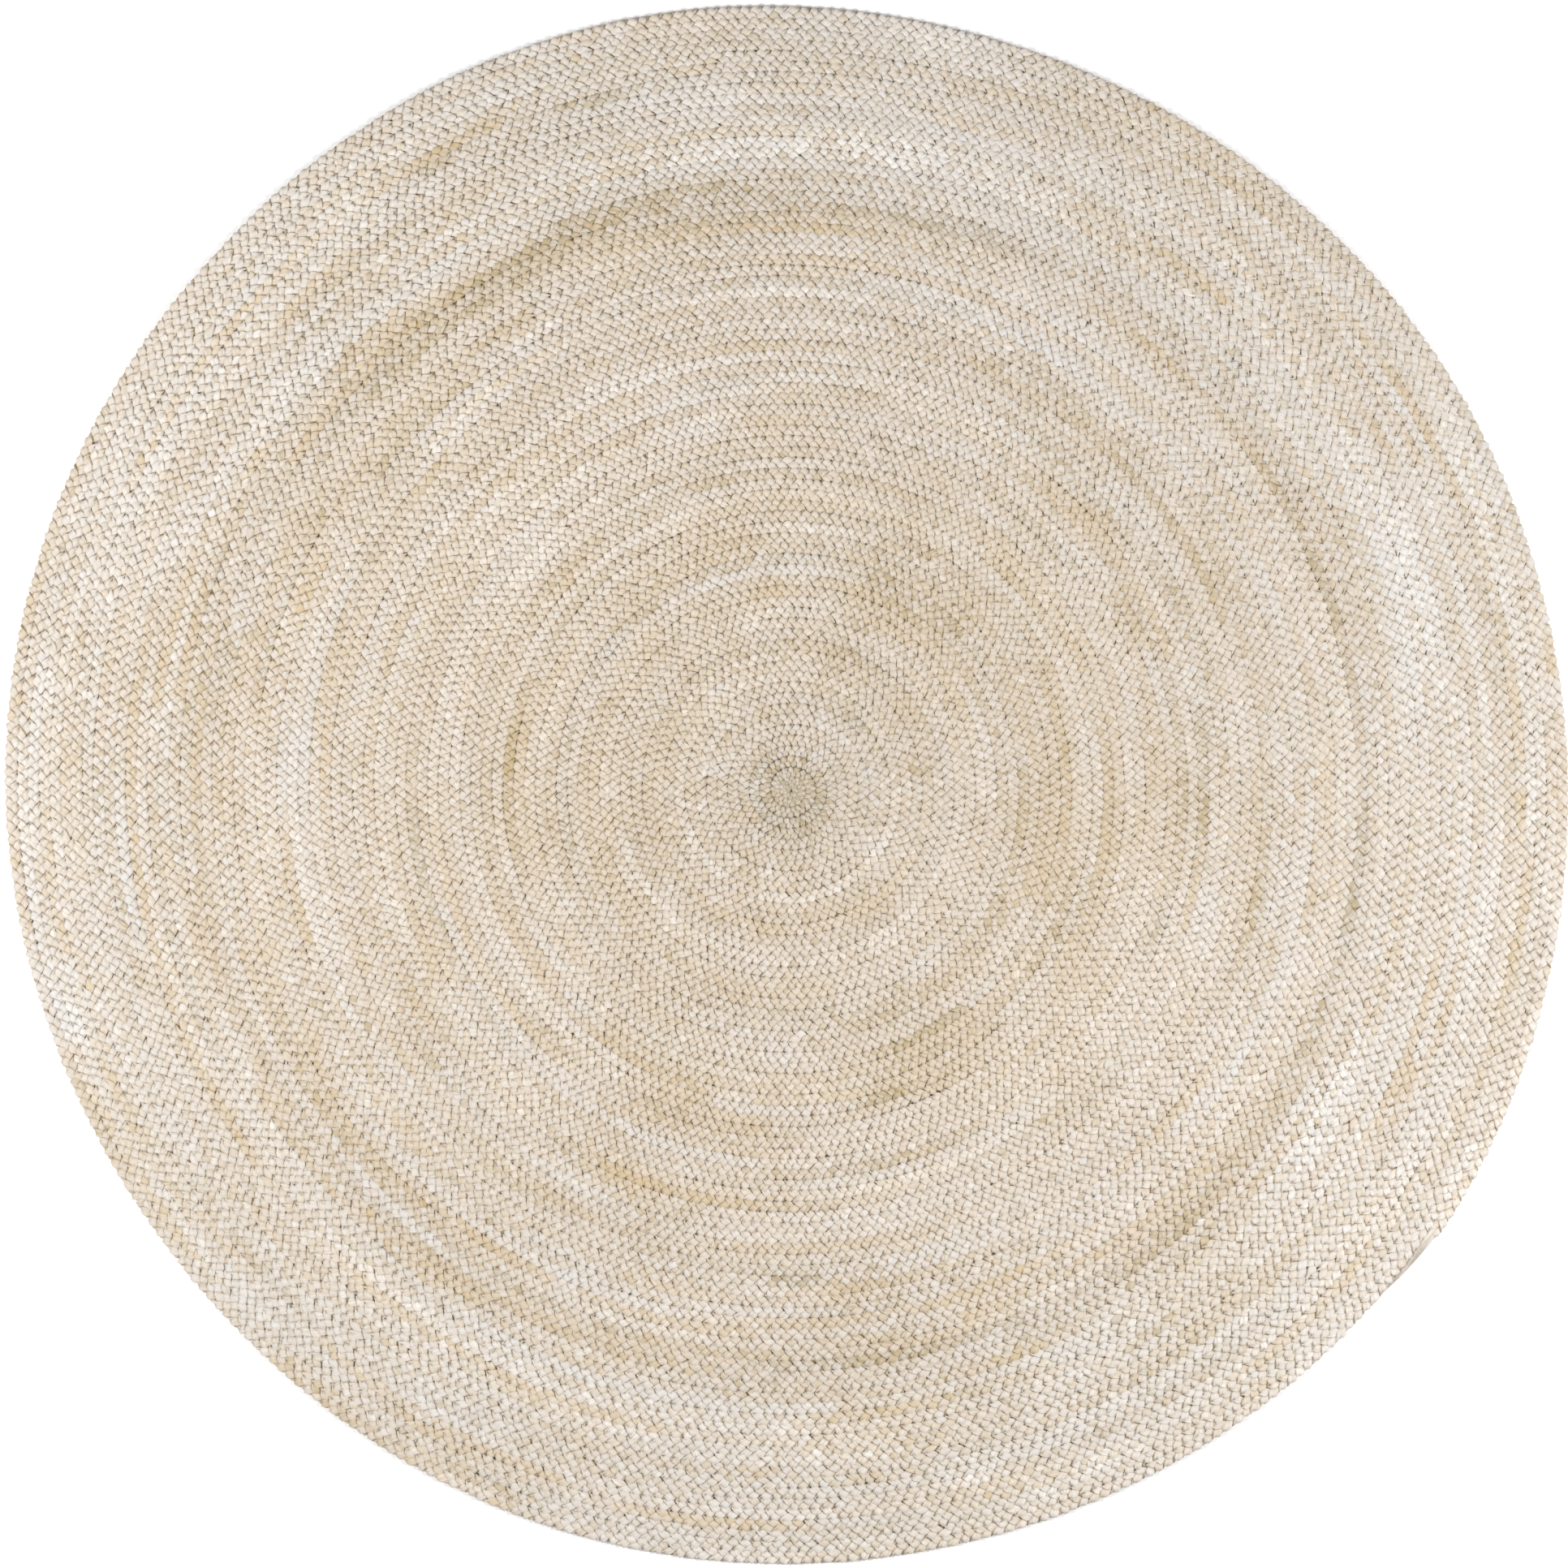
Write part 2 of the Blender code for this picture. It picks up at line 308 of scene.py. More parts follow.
# --- The line of the plait ---------------------------------------------------------------------
@dataclass(frozen=True)
class Spiral:
    """The flat spiral on which the plait lies, in the CAD part's own sizes."""

    eye: tuple[float, float]
    pitch: float = 0.01253
    turns: float = 72.5
    end_angle: float = math.radians(-38)
    lengths: int = 24
    tail_sides: int = 2
    centre_corners: int = 16
    most_sag: float = 0.0053
    edge_turns: int = 2
    tight_under: float = 1.5
    tightening: float = 0.32
    lobes: tuple[tuple[int, float, float], ...] = (
        (1, 0.0052, math.radians(158)),
        (2, 0.0058, math.radians(-45)),
        (5, 0.0025, math.radians(34)),
    )

    @property
    def edge_radius(self) -> float:
        """The mean radius of the rug."""
        return self.pitch * (self.turns + 0.5)

    def shrink(self, turn: Array) -> Array:
        """The plait's size, as a share of its full size: it is finer and tighter at the eye."""
        return np.exp(self.tightening * np.minimum(np.asarray(turn) - self.tight_under, 0.0))

    def polar(self, turn: Array) -> tuple[Array, Array]:
        """The spiral's direction and distance from the eye.

        Args:
            turn: turns wound since the eye.

        Returns:
            The angles and the radii of the plait's middle.
        """
        angle = self.end_angle + (self.turns - turn) * math.tau
        drawn_in = (1.0 - self.shrink(turn)) / self.tightening
        radius = self.pitch * (np.maximum(turn, self.tight_under) + 0.5 - drawn_in)
        swell = sum(high * np.cos(waves * (angle - crest)) for waves, high, crest in self.lobes)
        return angle, radius + swell * (radius / self.edge_radius) ** 2

    def place(self, angle: Array, radius: Array) -> Array:
        """The points of the floor plane at these angles and radii round the eye."""
        x = self.eye[0] + radius * np.cos(angle)
        y = self.eye[1] + radius * np.sin(angle)
        return np.stack([x, y], -1)

    def course(self, turn: Array) -> tuple[Array, Array, Array]:
        """The plait's line over the floor.

        Args:
            turn: turns wound since the eye.

        Returns:
            The points of its middle, the way ahead and the way outwards at each.
        """
        angle, radius = self.polar(turn)
        cos, sin = np.cos(angle), np.sin(angle)
        growth, around = self.pitch * self.shrink(turn), math.tau * radius
        ahead = np.stack([growth * cos + around * sin, growth * sin - around * cos], -1)
        ahead /= np.linalg.norm(ahead, axis=-1, keepdims=True)
        outward = np.stack([-ahead[..., 1], ahead[..., 0]], -1)
        return self.place(angle, radius), ahead, outward

    def corners(self) -> list[float]:
        """The turns at which the CAD spiral has its corners."""
        places = [0.0]
        while places[-1] < self.turns:
            count = self.centre_corners
            while self.pitch * places[-1] * (1 - math.cos(math.pi / count)) > self.most_sag:
                count *= 2
            if places[-1] >= self.turns - self.edge_turns:
                count *= 2
            places.append(min(places[-1] + 1 / count, self.turns))
        return places

    def joints(self) -> list[float]:
        """The turns at which one length of plait ends and the next begins."""
        corners = self.corners()
        end = corners[-1 - self.tail_sides]
        found = []
        for number in range(self.lengths + 1):
            turn = math.sqrt(1.0 + number / self.lengths * (end**2 - 1.0))
            index = max(i for i, place in enumerate(corners) if place <= turn + 1e-6)
            found.append((corners[index] + corners[index + 1]) / 2)
        return found


# --- Meshes made of tubes ----------------------------------------------------------------------
@dataclass
class Tube:
    """A closed tube: rings of points, with what the finishes need to know at each point."""

    points: Array
    fibre: Array
    sliver: Array


class TubeMesh:
    """A mesh made of many closed tubes, with the attributes and the map that finishes use."""

    def __init__(self, name: str) -> None:
        """Starts an empty mesh for the piece of this name."""
        self.name = name
        self.tubes: list[Tube] = []

    def add(self, tube: Tube) -> None:
        """Adds one tube."""
        self.tubes.append(tube)

    def faces_of(self, rings: int, sides: int) -> tuple[Array, Array]:
        """The faces of one tube.

        Args:
            rings: how many rings it has.
            sides: how many points each ring has.

        Returns:
            The sides' corners, four to a face, and the two caps' corners.
        """
        ring = np.arange(rings - 1)[:, None] * sides
        side = np.arange(sides)[None]
        after = (side + 1) % sides
        quads = np.stack([ring + side, ring + after, ring + after + sides, ring + side + sides], -1)
        start = np.arange(sides)[::-1]
        end = (rings - 1) * sides + np.arange(sides)
        return quads.reshape(-1, 4), np.stack([start, end])

    def map_of(self, rings: int, sides: int, row: int, rows: int, wrap: int) -> Array:
        """The bake map of one tube: strips as wide as the tube's girth, laid row under row.

        Args:
            rings: how many rings it has.
            sides: how many points each ring has.
            row: the first row that is free.
            rows: how many rows the whole map has.
            wrap: how many rings fit on a row.

        Returns:
            One place on the map for each face corner, in the order of faces_of.
        """
        step = np.arange(rings - 1)[:, None]
        side = np.arange(sides)[None]
        column = (step % wrap + 0.0 * side)[..., None] + np.array([0, 0, 1, 1])
        line = (side + 0.0 * step)[..., None] + np.array([0, 1, 1, 0])
        line = (row + step // wrap)[..., None] + 0.05 + 0.9 * line / sides
        quads = np.stack([column / wrap, line / rows], -1).reshape(-1, 2)
        turn = np.arange(sides) * math.tau / sides
        disc = np.stack([0.4 * np.cos(turn) / wrap, 0.3 * np.sin(turn) / rows], -1)
        ends = []
        for last, spin in ((0, disc[::-1]), (rings - 2, disc)):
            middle = [(last % wrap + 0.5) / wrap, (row + last // wrap + 0.5) / rows]
            ends.append(np.array(middle) + spin)
        return np.concatenate([quads, *ends])

    def rings_per_row(self) -> int:
        """How many rings go on a row, so that the map is about square."""
        points = self.tubes[0].points
        girth = np.linalg.norm(points - np.roll(points, 1, 1), axis=-1).sum(1).mean()
        step = np.linalg.norm(np.diff(points.mean(1), axis=0), axis=-1).mean()
        total = sum(len(tube.points) - 1 for tube in self.tubes)
        return max(int(math.sqrt(total * 1.1 * girth / step)), 4)

    def make(self) -> bpy.types.Object:
        """Builds the mesh object.

        Returns:
            The object, linked to the scene and smooth-shaded.
        """
        wrap = self.rings_per_row()
        used = [-(-(len(tube.points) - 1) // wrap) for tube in self.tubes]
        corners, starts, places = [], [], []
        base = loops = row = 0
        for tube, rows in zip(self.tubes, used):
            rings, sides = tube.points.shape[:2]
            quads, caps = self.faces_of(rings, sides)
            corners += [quads.ravel() + base, caps.ravel() + base]
            starts.append(loops + np.arange(len(quads)) * 4)
            loops += quads.size
            starts.append(loops + np.array([0, sides]))
            loops += caps.size
            places.append(self.map_of(rings, sides, row, sum(used), wrap))
            base += rings * sides
            row += rows
        mesh = bpy.data.meshes.new(self.name)
        corners, starts = np.concatenate(corners), np.concatenate(starts)
        mesh.vertices.add(base)
        mesh.loops.add(len(corners))
        mesh.polygons.add(len(starts))
        mesh.vertices.foreach_set("co", self.gathered("points"))
        mesh.loops.foreach_set("vertex_index", corners.astype(np.int32))
        mesh.polygons.foreach_set("loop_start", starts.astype(np.int32))
        mesh.polygons.foreach_set("use_smooth", np.ones(len(starts), bool))
        mesh.update(calc_edges=True)
        for name, source in ((PLACE, "fibre"), (SLIVER, "sliver")):
            attribute = mesh.attributes.new(name, "FLOAT_VECTOR", "POINT")
            attribute.data.foreach_set("vector", self.gathered(source))
        layer = mesh.uv_layers.new(name=BAKE_MAP)
        layer.uv.foreach_set("vector", np.concatenate(places).astype(np.float32).ravel())
        made = bpy.data.objects.new(self.name, mesh)
        bpy.context.scene.collection.objects.link(made)
        return made

    def gathered(self, source: str) -> Array:
        """One list of every tube's points, or of what the finishes need to know there."""
        found = [getattr(tube, source).reshape(-1, 3) for tube in self.tubes]
        return np.concatenate(found).astype(np.float32).ravel()


def tube_along(line: Array, radius: Array | float, sides: int, sliver: Colour) -> Tube:
    """A round tube along a line of points.

    Args:
        line: the points, one row each, close enough together to be smooth.
        radius: the tube's radius, or one for each point.
        sides: how many points each ring has.
        sliver: the tone, warmth and share of painted seam shade of the whole tube.

    Returns:
        The tube.
    """
    ahead = np.gradient(line, axis=0)
    ahead /= np.linalg.norm(ahead, axis=1, keepdims=True)
    across = np.cross(np.array([0.31, 0.17, 0.93]), ahead)
    across /= np.linalg.norm(across, axis=1, keepdims=True)
    above = np.cross(ahead, across)
    turn = ring_angles(sides)
    radius = np.broadcast_to(radius, len(line))[:, None, None]
    ring = across[:, None] * np.cos(turn)[:, None] + above[:, None] * np.sin(turn)[:, None]
    steps = np.linalg.norm(np.diff(line, axis=0), axis=1)
    along = np.concatenate([[0.0], np.cumsum(steps)]) + 7.0 * float(line[0, 0])
    shape = (len(line), sides)
    fibre = np.stack(
        [np.broadcast_to(along[:, None], shape)]
        + [np.broadcast_to(x[None], shape) for x in (np.cos(turn), np.sin(turn))],
        -1,
    )
    return Tube(line[:, None] + radius * ring, fibre, np.broadcast_to(sliver, (*shape, 3)))


# --- Shader node groups ------------------------------------------------------------------------
class NodeSheet:
    """A node tree, with a short way to place nodes and join them."""

    def __init__(self, tree: bpy.types.NodeTree) -> None:
        """Works on this tree."""
        self.tree = tree

    def add(
        self, kind: str, inputs: dict[str | int, object] | None = None, **settings: object
    ) -> bpy.types.Node:
        """Places a node.

        Args:
            kind: the node's type without "ShaderNode".
            inputs: what each input holds or is joined to.
            settings: the node's own settings.

        Returns:
            The node.
        """
        node = self.tree.nodes.new("ShaderNode" + kind)
        for name, value in settings.items():
            setattr(node, name, value)
        for name, value in (inputs or {}).items():
            if isinstance(value, Socket):
                self.tree.links.new(value, node.inputs[name])
            else:
                node.inputs[name].default_value = value
        return node

    def maths(self, operation: str, *values: object, clamp: bool = False) -> Socket:
        """The result of a Math node on these values."""
        inputs = dict(enumerate(values))
        return self.add("Math", inputs, operation=operation, use_clamp=clamp).outputs[0]

    def spread(self, value: Socket, low: float, high: float, to: tuple[float, float]) -> Socket:
        """The value taken from the range low to high into another range, with soft ends."""
        inputs = {0: value, 1: low, 2: high, 3: to[0], 4: to[1]}
        node = self.add("MapRange", inputs, interpolation_type="SMOOTHSTEP")
        return node.outputs[0]

    def mix(self, share: object, first: object, second: object, blend: str = "MIX") -> Socket:
        """The mix of two colours."""
        inputs = {0: share, 6: first, 7: second}
        return self.add("Mix", inputs, data_type="RGBA", blend_type=blend).outputs[2]

    def noise(self, place: Socket, detail: float, roughness: float) -> Socket:
        """Noise at this place, one feature to a unit."""
        inputs = {"Vector": place, "Scale": 1.0, "Detail": detail, "Roughness": roughness}
        return self.add("TexNoise", inputs).outputs[0]


class Group:
    """A shader node group under construction."""

    def __init__(self, name: str, inputs: dict[str, str], outputs: dict[str, str]) -> None:
        """Makes the group's sockets.

        Args:
            name: the group's name.
            inputs: each input's name and kind, "Float", "Vector" or "Color".
            outputs: each output's name and kind.
        """
        self.tree = bpy.data.node_groups.new(name, "ShaderNodeTree")
        for names, way in ((inputs, "INPUT"), (outputs, "OUTPUT")):
            for title, kind in names.items():
                self.tree.interface.new_socket(
                    name=title, in_out=way, socket_type="NodeSocket" + kind
                )
        self.sheet = NodeSheet(self.tree)
        self.inside = self.tree.nodes.new("NodeGroupInput").outputs
        self.out = self.tree.nodes.new("NodeGroupOutput")

    def close(self, **results: Socket) -> bpy.types.NodeTree:
        """Joins the results to the outputs of the same names, and returns the group."""
        for name, socket in results.items():
            self.tree.links.new(socket, self.out.inputs[name])
        return self.tree


@dataclass
class ShaderKit:
    """The node groups that every jute finish shares, built once."""

    fibres: bpy.types.NodeTree = field(init=False)
    colours: bpy.types.NodeTree = field(init=False)

    def __post_init__(self) -> None:
        """Builds the groups."""
        self.fibres = self.build_fibres()
        self.colours = self.build_colours()

    def build_fibres(self) -> bpy.types.NodeTree:
        """Fibres that run along the strand: fine ones, broad streaks of them, and bark flecks."""
        group = Group(
            "jute_fibres",
            {"Place": "Vector", "Along": "Float", "Around": "Float", "Fleck Share": "Float"},
            {"Fibres": "Float", "Streaks": "Float", "Hues": "Float", "Flecks": "Float",
             "Height": "Float"},
        )
        sheet, inside = group.sheet, group.inside

        def stretched(along: float, around: float) -> Socket:
            """The place on the strand, in units of a fibre's length and width times these."""
            length = sheet.maths("MULTIPLY", inside["Along"], along)
            width = sheet.maths("MULTIPLY", inside["Around"], around)
            scale = sheet.add("CombineXYZ", {0: length, 1: width, 2: width}).outputs[0]
            inputs = {0: inside["Place"], 1: scale}
            return sheet.add("VectorMath", inputs, operation="MULTIPLY").outputs[0]

        fine = sheet.noise(stretched(1.0, 1.0), 3.0, 0.62)
        broad = sheet.noise(stretched(0.42, 0.2), 2.0, 0.5)
        blended = sheet.noise(stretched(1.3, 0.45), 1.0, 0.5)
        specks = sheet.noise(stretched(2.6, 0.55), 1.0, 0.5)
        limit = sheet.maths("SUBTRACT", 0.86, inside["Fleck Share"])
        flecks = sheet.maths("SUBTRACT", specks, limit)
        flecks = sheet.maths("MULTIPLY", flecks, 22.0, clamp=True)
        fibres = sheet.spread(fine, 0.30, 0.70, (0.0, 1.0))
        height = sheet.maths("MULTIPLY_ADD", broad, 0.9, fibres)
        streaks = sheet.spread(broad, 0.30, 0.70, (0.0, 1.0))
        hues = sheet.spread(blended, 0.30, 0.70, (-1.0, 1.0))
        return group.close(
            Fibres=fibres, Streaks=streaks, Hues=hues, Flecks=flecks, Height=height
        )

    def build_colours(self) -> bpy.types.NodeTree:
        """The jute's colour from its tone and warmth and from the fibres in it, with painted seam
        shade mixed in.
        """
        group = Group(
            "jute_colours",
            {"Sliver": "Vector"} | dict.fromkeys(MASKS, "Float") | dict.fromkeys(TINTS, "Color"),
            {"Color": "Color", "Roughness": "Float"},
        )
        sheet, inside = group.sheet, group.inside
        parts = sheet.add("SeparateXYZ", {0: inside["Sliver"]}).outputs
        streak = sheet.maths("MULTIPLY_ADD", inside["Streaks"], 0.34, -0.17)
        tone = sheet.maths("ADD", parts[0], streak)
        low = sheet.spread(tone, -0.05, 0.5, (0.0, 1.0))
        high = sheet.spread(tone, 0.5, 1.05, (0.0, 1.0))
        colour = sheet.mix(low, inside["Dark"], inside["Middle"])
        colour = sheet.mix(high, colour, inside["Light"])
        warmth = sheet.maths("MULTIPLY_ADD", inside["Hues"], 0.30, parts[1])
        straw = sheet.maths("MULTIPLY", warmth, 0.75, clamp=True)
        washed = sheet.maths("MULTIPLY", warmth, -0.95, clamp=True)
        colour = sheet.mix(straw, colour, inside["Straw"])
        colour = sheet.mix(washed, colour, inside["Washed"])
        hollow = sheet.maths("MULTIPLY_ADD", inside["Fibres"], -0.20, 0.20)
        colour = sheet.mix(hollow, colour, inside["Dark"])
        # The sliver's third value mixes in the seam shade colour: painted shade where the strands
        # dive under each other. The flecks mix in bark.
        for mask, strength, tint in ((parts[2], 0.70, "Seam"), (inside["Flecks"], 0.6, "Bark")):
            share = sheet.maths("MULTIPLY", mask, strength, clamp=tint == "Seam")
            colour = sheet.mix(share, colour, inside[tint])
        rough = sheet.maths("MULTIPLY_ADD", inside["Fibres"], -0.18, 0.68)
        rough = sheet.maths("MULTIPLY_ADD", parts[2], 0.12, rough, clamp=True)
        return group.close(Color=colour, Roughness=rough)


# --- Finishes ----------------------------------------------------------------------------------
@dataclass(frozen=True)
class JuteFinish:
    """Plaited or twisted jute in one lot's colours, with the colour of its painted seam shade."""

    slot: Slot
    dark: Colour
    middle: Colour
    light: Colour
    straw: Colour = (0.60, 0.46, 0.27)
    washed: Colour = (0.70, 0.69, 0.68)
    # The colour of the painted shade in the seams between lumps.
    seam: Colour = (0.30, 0.188, 0.045)
    bark: Colour = (0.16, 0.10, 0.05)
    fibres_along: float = 62.0
    fibres_around: float = 9.0
    fleck_share: float = 0.10
    bump: float = 0.30
    bump_depth: float = 0.00045
    sheen: float = 0.12
    sheen_roughness: float = 0.45
    gloss: float = 0.42

    def material(self, kit: ShaderKit) -> bpy.types.Material:
        """Builds the finish.

        Args:
            kit: the shared node groups.

        Returns:
            The material.
        """
        made = bpy.data.materials.new(self.slot.value)
        made.use_nodes = True
        sheet = NodeSheet(made.node_tree)
        shader = made.node_tree.nodes["Principled BSDF"]
        place = sheet.add("Attribute", attribute_name=PLACE).outputs["Vector"]
        sliver = sheet.add("Attribute", attribute_name=SLIVER).outputs["Vector"]
        laid = {"Place": place, "Along": self.fibres_along, "Around": self.fibres_around,
                "Fleck Share": self.fleck_share}
        fibres = sheet.add("Group", laid, node_tree=kit.fibres).outputs
        tinted = {"Sliver": sliver} | {name: fibres[name] for name in MASKS}
        tinted |= {name: (*getattr(self, name.lower()), 1.0) for name in TINTS}
        colours = sheet.add("Group", tinted, node_tree=kit.colours).outputs
        relief = {"Height": fibres["Height"], "Strength": self.bump, "Distance": self.bump_depth}
        bump = sheet.add("Bump", relief).outputs[0]
        for result, socket in (("Base Color", colours["Color"]),
                               ("Roughness", colours["Roughness"]), ("Normal", bump)):
            made.node_tree.links.new(socket, shader.inputs[result])
        shader.inputs["Sheen Weight"].default_value = self.sheen
        shader.inputs["Sheen Roughness"].default_value = self.sheen_roughness
        shader.inputs["Specular IOR Level"].default_value = self.gloss
        return made


JUTE_LOTS = (
    JuteFinish(Slot.GREIGE, (0.42, 0.340, 0.205), (0.653, 0.583, 0.515), (0.82, 0.775, 0.72)),
    JuteFinish(Slot.CREAM, (0.44, 0.350, 0.208), (0.673, 0.598, 0.522), (0.84, 0.79, 0.73)),
    JuteFinish(Slot.STRAW, (0.44, 0.348, 0.202), (0.670, 0.594, 0.512), (0.84, 0.785, 0.72)),
    JuteFinish(Slot.IVORY, (0.44, 0.358, 0.220), (0.678, 0.614, 0.552), (0.86, 0.82, 0.775)),
    JuteFinish(Slot.BLEACHED, (0.45, 0.372, 0.238), (0.682, 0.628, 0.572), (0.88, 0.855, 0.825),
               sheen=0.16, gloss=0.45),
    JuteFinish(Slot.TWINE, (0.40, 0.34, 0.24), (0.62, 0.55, 0.44), (0.72, 0.66, 0.55),
               fibres_along=240.0, fibres_around=3.0, bump_depth=0.0001, fleck_share=0.0),
)


class Wardrobe:
    """Every finish's material, by slot."""

    def __init__(self) -> None:
        """Builds the materials."""
        kit = ShaderKit()
        self.materials = {lot.slot: lot.material(kit) for lot in JUTE_LOTS}

    def dress(self, work: TubeMesh, slot: Slot, nodes: tuple[str, ...] = ()) -> bpy.types.Object:
        """Makes a piece, and gives it its finish and its place on the frame.

        Args:
            work: the piece's mesh.
            slot: the record's slot that it takes its finish from.
            nodes: the CAD nodes that it stands for.

        Returns:
            The piece.
        """
        piece = work.make()
        piece.data.materials.append(self.materials[slot])
        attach(piece, BODY)
        if nodes:
            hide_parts(*nodes)
        LOG.info("%s: %d faces, %s", piece.name, len(piece.data.polygons), slot.value)
        return piece


# --- The plait ---------------------------------------------------------------------------------
@dataclass
class Plait:
    """Three flattened strands, plaited: where each runs, how thick it is and what tone it has.

    Strands cross from the middle of the plait to its edges as it winds outwards, so that the
    lumps on top make a row of arrowheads that point back to the eye.
    """

    spiral: Spiral
    first_turn: float = -1.37
    last_turn: float = 72.56
    strands: int = 3
    half_swing: float = 0.00452
    half_rise: float = 0.00205
    strand_width: float = 0.0079
    strand_thickness: float = 0.0039
    squareness: float = 3.1
    snugness: tuple[float, float] = (0.6, 1.1)
    roll: float = 0.36
    plumpness: float = 0.13
    middle_height: float = 0.0040
    floor_gap: float = 0.00005
    twist: float = 60.0
    eye_lump: float = 0.0066
    full_lump: float = 0.0112
    lump_growth: tuple[tuple[float, float, float], ...] = (
        (0.0044, 0.015, 0.09),
        (0.0024, 0.36, 0.42),
    )
    eye_calm: float = 0.35
    calm_until: float = 0.12
    rings: int = 11
    sides: int = 10
    seed: int = 40
    tones: tuple[tuple[float, float, float], ...] = (
        (0.00, -0.05, -0.14),
        (0.03, 0.04, -0.12),
        (0.05, 0.32, 0.02),
        (0.07, 0.46, 0.14),
        (0.30, 0.48, 0.17),
        (0.42, 0.49, 0.16),
        (0.55, 0.51, 0.12),
        (0.59, 0.475, 0.11),
        (0.66, 0.465, 0.10),
        (0.69, 0.48, 0.10),
        (0.74, 0.52, 0.06),
        (0.92, 0.53, 0.05),
    )

    def __post_init__(self) -> None:
        """Measures the plait's length and draws all that is irregular in it."""
        self.turn = np.linspace(self.first_turn, self.last_turn, 60001)
        angle, radius = self.spiral.polar(self.turn)
        steps = np.diff(self.spiral.place(angle, radius), axis=0)
        self.run = np.concatenate([[0.0], np.cumsum(np.linalg.norm(steps, axis=1))])
        self.calm = self.eye_calm + (1.0 - self.eye_calm) * ramp(radius, 0.0, self.calm_until)
        lump = self.eye_lump
        for more, start, over in self.lump_growth:
            lump = lump + more * ramp(radius, start, over)
        lump = lump * np.sqrt(self.spiral.shrink(self.turn))
        self.lump = lump
        beat = math.tau / (self.strands * (lump[1:] + lump[:-1]) / 2)
        self.phase = np.concatenate([[0.0], np.cumsum(beat * np.diff(self.run))])
        reach, seed = float(self.run[-1]), self.seed
        self.warp = Wander(seed + 1, reach, 0.029, 0.26)
        self.hitch = Wander(seed + 2, reach, 0.009, 0.10)
        self.wobble = Wander(seed + 3, reach, 0.06, 0.00020)
        self.drift = Wander(seed + 8, reach, 0.45, 0.00019)
        self.lift = Wander(seed + 4, reach, 0.28, 0.00034)
        self.batch = Runs(seed + 5, reach, 0.8, 6.0, 1.0)
        self.batch_warmth = Runs(seed + 6, reach, 0.6, 5.0, 1.0)
        self.bundle = Runs(seed + 10, reach, 0.05, 0.7, 1.0)
        self.bundle_warmth = Runs(seed + 11, reach, 0.04, 0.5, 1.0)
        self.patches = Patches(seed + 7, 0.16, 1.0)
        self.streaks = Streaks(seed + 12, 0.021, 34, 1.0)
        self.streak_warmth = Streaks(seed + 13, 0.018, 40, 1.0)
        self.own = [
            {
                "beat": Wander(start, reach, 0.012, 0.09),
                "wide": Wander(start + 1, reach, 0.017, 0.08),
                "thick": Wander(start + 2, reach, 0.015, 0.08),
                "side": Wander(start + 3, reach, 0.012, 0.00016),
                "high": Wander(start + 4, reach, 0.012, 0.00013),
                "tone": Runs(start + 5, reach, 0.03, 0.25, 1.0),
                "warmth": Runs(start + 6, reach, 0.03, 0.30, 1.0),
            }
            for start in range(seed + 20, seed + 20 + 20 * self.strands, 20)
        ]
        self.lumps = uneven(np.random.default_rng(seed + 9), (2, self.strands, 16384))

    def ring_at(self, turn: float) -> int:
        """The ring nearest to this many turns from the eye."""
        return int(round(float(np.interp(turn, self.turn, self.phase)) * self.rings / math.tau))

    def travel(self, rings: Array) -> tuple[Array, Array]:
        """How far along the plait these rings are, in metres and in turns."""
        phase = rings * math.tau / self.rings
        return np.interp(phase, self.phase, self.run), np.interp(phase, self.phase, self.turn)

    def sway(self, run: Array) -> Array:
        """How far the plait strays outwards from the spiral at these distances along it."""
        return (self.wobble.at(run) + self.drift.at(run)) * np.interp(run, self.run, self.calm)

    def section(self) -> tuple[Array, Array]:
        """The strand's rounded flat section, from -1 to 1 both ways."""
        turn = ring_angles(self.sides)
        power = 2.0 / self.squareness
        across = np.sign(np.cos(turn)) * np.abs(np.cos(turn)) ** power
        upward = np.sign(np.sin(turn)) * np.abs(np.sin(turn)) ** power
        widest = np.abs(across).max()
        return across / widest, upward / widest

    def sliver_at(self, which: int, run: Array, beat: Array, turn: Array) -> Array:
        """The tone and the warmth of one strand.

        Args:
            which: the strand.
            run: metres along the plait.
            beat: the strand's own phase there.
            turn: turns wound since the eye.

        Returns:
            A row of tone and warmth for each point of the strand's middle.
        """
        angle, radius = self.spiral.polar(turn)
        place = self.spiral.place(angle, radius)
        own = self.own[which]
        ring = np.array(self.tones).T
        lump = np.floor(beat / math.pi - 0.75).astype(int) % self.lumps.shape[-1]
        patch = self.patches.at(place[..., 0], place[..., 1])
        light, warm = TONE_WEIGHTS, WARMTH_WEIGHTS
        tone = np.interp(radius, ring[0], ring[1]) + light.batch * self.batch.at(run)
        tone += light.bundle * self.bundle.at(run) + light.own * own["tone"].at(run)
        tone += light.lump * self.lumps[0, which, lump] + light.patch * patch
        tone += light.streak * self.streaks.at(angle, radius)
        mixed = warm.bundle * self.bundle_warmth.at(run) + warm.own * own["warmth"].at(run)
        mixed += warm.lump * self.lumps[1, which, lump]
        warmth = np.interp(radius, ring[0], ring[2]) + warm.batch * self.batch_warmth.at(run)
        warmth += mixed * (0.8 + 0.8 * ramp(radius, 0.2, 0.5)) + warm.patch * patch
        warmth += warm.streak * self.streak_warmth.at(angle, radius)
        broken = np.clip(1.0 + 0.45 * self.lumps[0, which, lump - 7], 0.1, 1.9)
        for mark in MARKS:
            strength = mark.weight(angle, radius) * broken
            tone, warmth = tone + mark.tone * strength, warmth + mark.warmth * strength
        return np.stack([np.clip(tone, -0.3, 1.1), np.clip(warmth, -1.0, 1.0)], -1)

